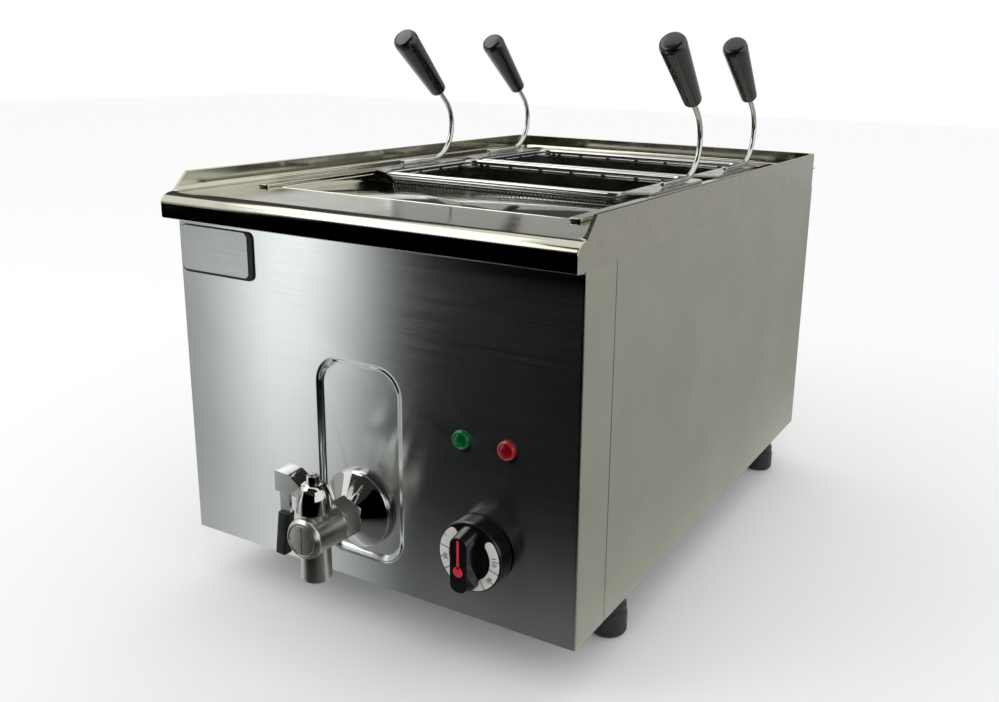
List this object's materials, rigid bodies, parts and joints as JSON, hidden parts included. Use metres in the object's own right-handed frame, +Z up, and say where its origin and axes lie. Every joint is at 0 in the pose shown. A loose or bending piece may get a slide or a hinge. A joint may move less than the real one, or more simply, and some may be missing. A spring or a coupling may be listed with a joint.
{
  "type": "pasta cooker",
  "caption": "Countertop electric pasta cooker: steel cabinet on adjustable feet, boiling well with lift-out sieve baskets on curled handles, lever drain tap, thermostat knob and pilot lamps.",
  "frame": {"origin": "middle of the box's underside, on the plane that the feet stand on", "axes": "+Z up, +Y from the front panel to the rear, +X to the right seen from the front"},
  "size_m": [0.402, 0.6649, 0.5073],
  "materials": {
    "brushed_front": "stainless sheet brushed from side to side",
    "satin_side": "satin stainless sheet",
    "frame_steel": "fine satin stainless sheet, rounded nose polished",
    "bright_steel": "bright drawn and electropolished stainless",
    "galvanised": "zinc coated sheet",
    "chrome": "bright chrome plate",
    "satin_nickel": "satin nickel plated brass",
    "brass": "plain brass tube",
    "element_sheath": "heat darkened alloy sheath",
    "copper": "drawn copper",
    "ptfe": "white moulded plastic",
    "black_gloss": "glossy black phenolic moulding",
    "black_matt": "matt black moulding",
    "grey_plastic": "grey housing plastic",
    "green_lens": "clear green lens",
    "red_lens": "clear red lens",
    "plate_face": "plain satin aluminium"
  },
  "bodies": {
    "cabinet": {"base_tray": "galvanised", "body_wrap": "satin_side", "cable_gland": "black_matt", "drain_pipe": "brass", "foot_front_left_sleeve": "black_matt", "foot_front_right_sleeve": "black_matt", "foot_rear_left_sleeve": "black_matt", "foot_rear_right_sleeve": "black_matt", "front_panel": "brushed_front", "gland_nut": "black_matt", "heating_element": "element_sheath", "lamp_green_body": "black_matt", "lamp_green_lens": "green_lens", "lamp_red_body": "black_matt", "lamp_red_lens": "red_lens", "nameplate_base": "black_matt", "nameplate_face": "plate_face", "overheat_cutout": "grey_plastic", "support_grid": "bright_steel", "tank": "bright_steel", "tap_body": "satin_nickel", "tap_front_plug": "chrome", "tap_rosette": "chrome", "tap_seat_front": "ptfe", "tap_seat_rear": "ptfe", "terminal_block": "ptfe", "thermostat_body": "grey_plastic", "thermostat_bulb": "copper", "top_frame": "frame_steel", "well_rail_left": "frame_steel", "well_rail_right": "frame_steel"},
    "knob": {"knob": "black_gloss", "thermostat_spindle": "galvanised"},
    "tap_lever": {"tap_ball": "chrome", "tap_stem": "satin_nickel", "tap_lever": "chrome", "tap_lever_nut": "chrome", "tap_lever_tang": "chrome", "tap_lever_sleeve": "black_matt"},
    "basket_front": {"basket_front_frame": "bright_steel", "basket_front_grip_left": "black_gloss", "basket_front_grip_right": "black_gloss", "basket_front_shell": "bright_steel", "basket_front_wire_left": "bright_steel", "basket_front_wire_right": "bright_steel"},
    "basket_rear": {"basket_rear_frame": "bright_steel", "basket_rear_grip_left": "black_gloss", "basket_rear_grip_right": "black_gloss", "basket_rear_shell": "bright_steel", "basket_rear_wire_left": "bright_steel", "basket_rear_wire_right": "bright_steel"},
    "foot_front_left_pad": {"foot_front_left_pad": "black_matt"},
    "foot_front_right_pad": {"foot_front_right_pad": "black_matt"},
    "foot_rear_left_pad": {"foot_rear_left_pad": "black_matt"},
    "foot_rear_right_pad": {"foot_rear_right_pad": "black_matt"}
  },
  "joints": [
    {"name": "knob_turn", "type": "hinge", "parent": "cabinet", "child": "knob", "pos_m": [0.1157, -0.2645, 0.1115], "axis": [0, 1, 0], "range_deg": [0, 270]},
    {"name": "tap_turn", "type": "hinge", "parent": "cabinet", "child": "tap_lever", "pos_m": [-0.007, -0.3163, 0.1145], "axis": [0, 0, 1], "range_deg": [0, 90]},
    {"name": "basket_front_lift", "type": "slide", "parent": "cabinet", "child": "basket_front", "axis": [0, 0, 1], "range_m": [0, 0.2]},
    {"name": "basket_rear_lift", "type": "slide", "parent": "cabinet", "child": "basket_rear", "axis": [0, 0, 1], "range_m": [0, 0.2]},
    {"name": "foot_front_left_level", "type": "slide", "parent": "cabinet", "child": "foot_front_left_pad", "axis": [0, 0, -1], "range_m": [0, 0.014]},
    {"name": "foot_front_right_level", "type": "slide", "parent": "cabinet", "child": "foot_front_right_pad", "axis": [0, 0, -1], "range_m": [0, 0.014]},
    {"name": "foot_rear_left_level", "type": "slide", "parent": "cabinet", "child": "foot_rear_left_pad", "axis": [0, 0, -1], "range_m": [0, 0.014]},
    {"name": "foot_rear_right_level", "type": "slide", "parent": "cabinet", "child": "foot_rear_right_pad", "axis": [0, 0, -1], "range_m": [0, 0.014]}
  ]
}
